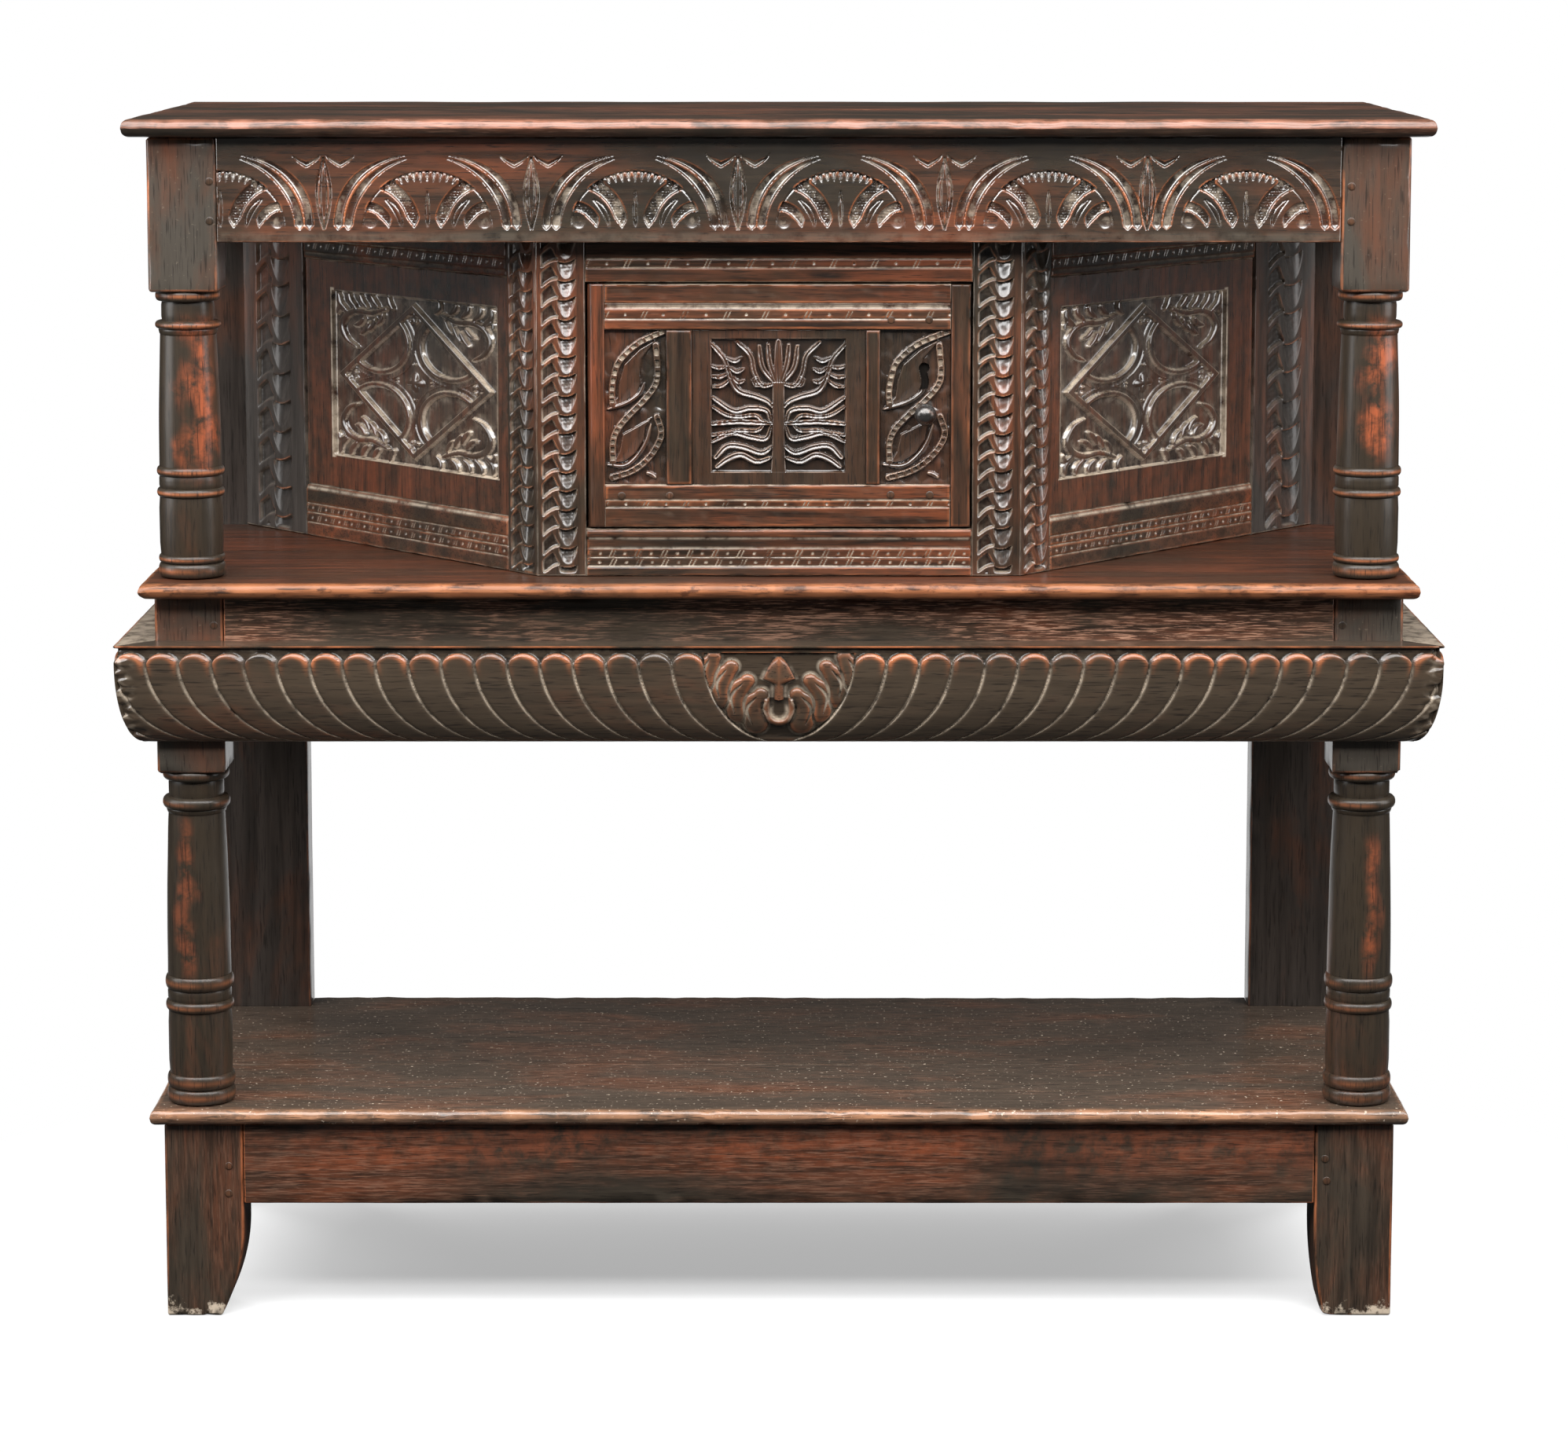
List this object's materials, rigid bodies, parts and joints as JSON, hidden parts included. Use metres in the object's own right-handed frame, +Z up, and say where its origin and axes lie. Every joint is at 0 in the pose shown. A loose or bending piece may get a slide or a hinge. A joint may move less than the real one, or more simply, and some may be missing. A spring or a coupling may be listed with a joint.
{
  "type": "livery cupboard",
  "caption": "Joined oak livery cupboard with an open lower stage on turned pillars, a gadrooned waist moulding and a canted cupboard with a hinged, locking door above.",
  "frame": {"origin": "on the floor under the middle of the cupboard's box", "axes": "+X to the right of someone facing the door, +Y to the back, +Z up"},
  "size_m": [1.307, 0.498, 1.2059],
  "materials": {
    "worn_oak": "old waxed oak, rubbed to red-brown on edges and turnings",
    "carved_oak": "old waxed oak, near black in the carving",
    "plain_oak": "old dark oak, dry on hidden faces",
    "iron": "blackened forged iron"
  },
  "bodies": {
    "carcass": {"top_board_front": "worn_oak", "top_board_rear": "worn_oak", "mid_shelf_front": "worn_oak", "mid_shelf_rear": "worn_oak", "lower_shelf_front": "worn_oak", "lower_shelf_rear": "worn_oak", "upper_pillar_left": "worn_oak", "upper_pillar_right": "worn_oak", "lower_pillar_left": "worn_oak", "lower_pillar_right": "worn_oak", "front_foot_left": "worn_oak", "front_foot_right": "worn_oak", "frieze_rail_front": "carved_oak", "gadroon_moulding_front": "carved_oak", "gadroon_moulding_left": "carved_oak", "gadroon_moulding_right": "carved_oak", "cupboard_stile_left": "carved_oak", "cupboard_stile_right": "carved_oak", "cupboard_rail_top": "carved_oak", "cupboard_rail_bottom": "carved_oak", "canted_left_stile_front": "carved_oak", "canted_left_stile_rear": "carved_oak", "canted_left_rail_top": "carved_oak", "canted_left_rail_bottom": "carved_oak", "canted_left_panel": "carved_oak", "canted_right_stile_front": "carved_oak", "canted_right_stile_rear": "carved_oak", "canted_right_rail_top": "carved_oak", "canted_right_rail_bottom": "carved_oak", "canted_right_panel": "carved_oak", "rear_post_left": "plain_oak", "rear_post_right": "plain_oak", "back_board_lower": "plain_oak", "back_board_upper": "plain_oak", "frieze_rail_left": "plain_oak", "frieze_rail_right": "plain_oak", "frieze_rail_rear": "plain_oak", "mid_rail_front": "plain_oak", "mid_rail_left": "plain_oak", "mid_rail_right": "plain_oak", "mid_rail_rear": "plain_oak", "base_rail_front": "plain_oak", "base_rail_left": "plain_oak", "base_rail_right": "plain_oak", "base_rail_rear": "plain_oak", "hinge_pin_top": "iron", "hinge_pin_bottom": "iron"},
    "door": {"door_stile_hinge": "carved_oak", "door_stile_lock": "carved_oak", "door_rail_top": "carved_oak", "door_rail_bottom": "carved_oak", "door_muntin_left": "carved_oak", "door_muntin_right": "carved_oak", "door_panel_left": "carved_oak", "door_panel_centre": "carved_oak", "door_panel_right": "carved_oak", "door_knob": "iron", "lock_case": "iron"},
    "lock_bolt": {"lock_bolt": "iron"}
  },
  "joints": [
    {"name": "door_hinge", "type": "hinge", "parent": "carcass", "child": "door", "pos_m": [-0.1805, -0.1765, 0.921], "axis": [0, 0, -1], "range_deg": [0, 95]},
    {"name": "lock_bolt_slide", "type": "slide", "parent": "door", "child": "lock_bolt", "axis": [1, 0, 0], "range_m": [0, 0.012]}
  ]
}
